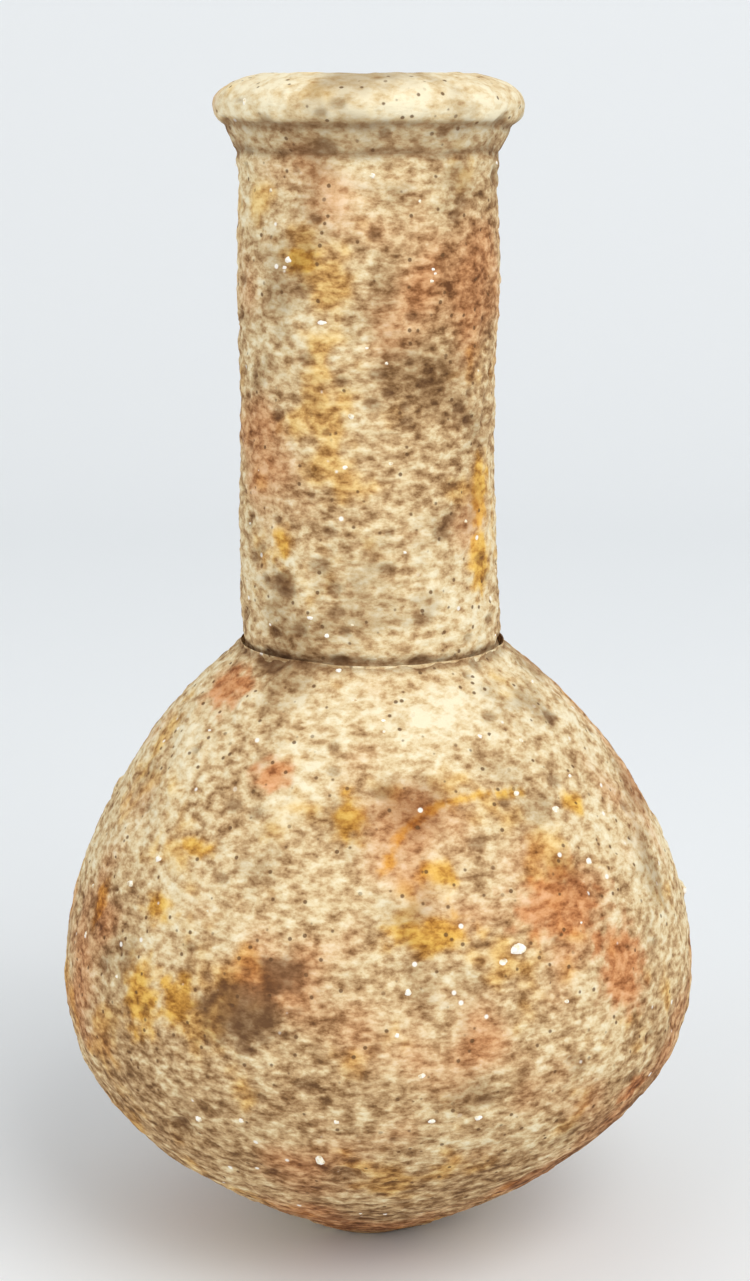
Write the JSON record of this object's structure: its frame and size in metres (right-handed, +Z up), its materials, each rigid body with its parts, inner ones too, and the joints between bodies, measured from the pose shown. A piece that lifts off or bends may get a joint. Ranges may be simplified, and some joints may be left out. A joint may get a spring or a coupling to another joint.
{
  "type": "unguentarium",
  "caption": "Small ancient clay flask for oil or scent, with a drop-shaped belly narrowing to a blunt point, a tall straight neck and a thick rolled lip.",
  "frame": {"origin": "middle of the flat spot under the belly that the flask stands on", "axes": "+Z up along the neck to the mouth; +X to the side that the belly's girth leans out to; front is -Y"},
  "size_m": [0.0667, 0.0668, 0.1217],
  "materials": {
    "scraped_clay": "matte, unglazed",
    "tan_clay": "matte, unglazed",
    "buff_clay": "matte, unglazed",
    "crease_clay": "matte, unglazed",
    "gritty_clay": "matte, unglazed",
    "collar_clay": "matte, unglazed",
    "lip_clay": "matte, unglazed"
  },
  "bodies": {
    "root": {"base_pad": "scraped_clay", "belly_lower": "tan_clay", "belly_upper": "buff_clay", "neck_root_strip": "crease_clay", "neck_tube": "gritty_clay", "rim_collar": "collar_clay", "rim_lip": "lip_clay"}
  },
  "joints": []
}
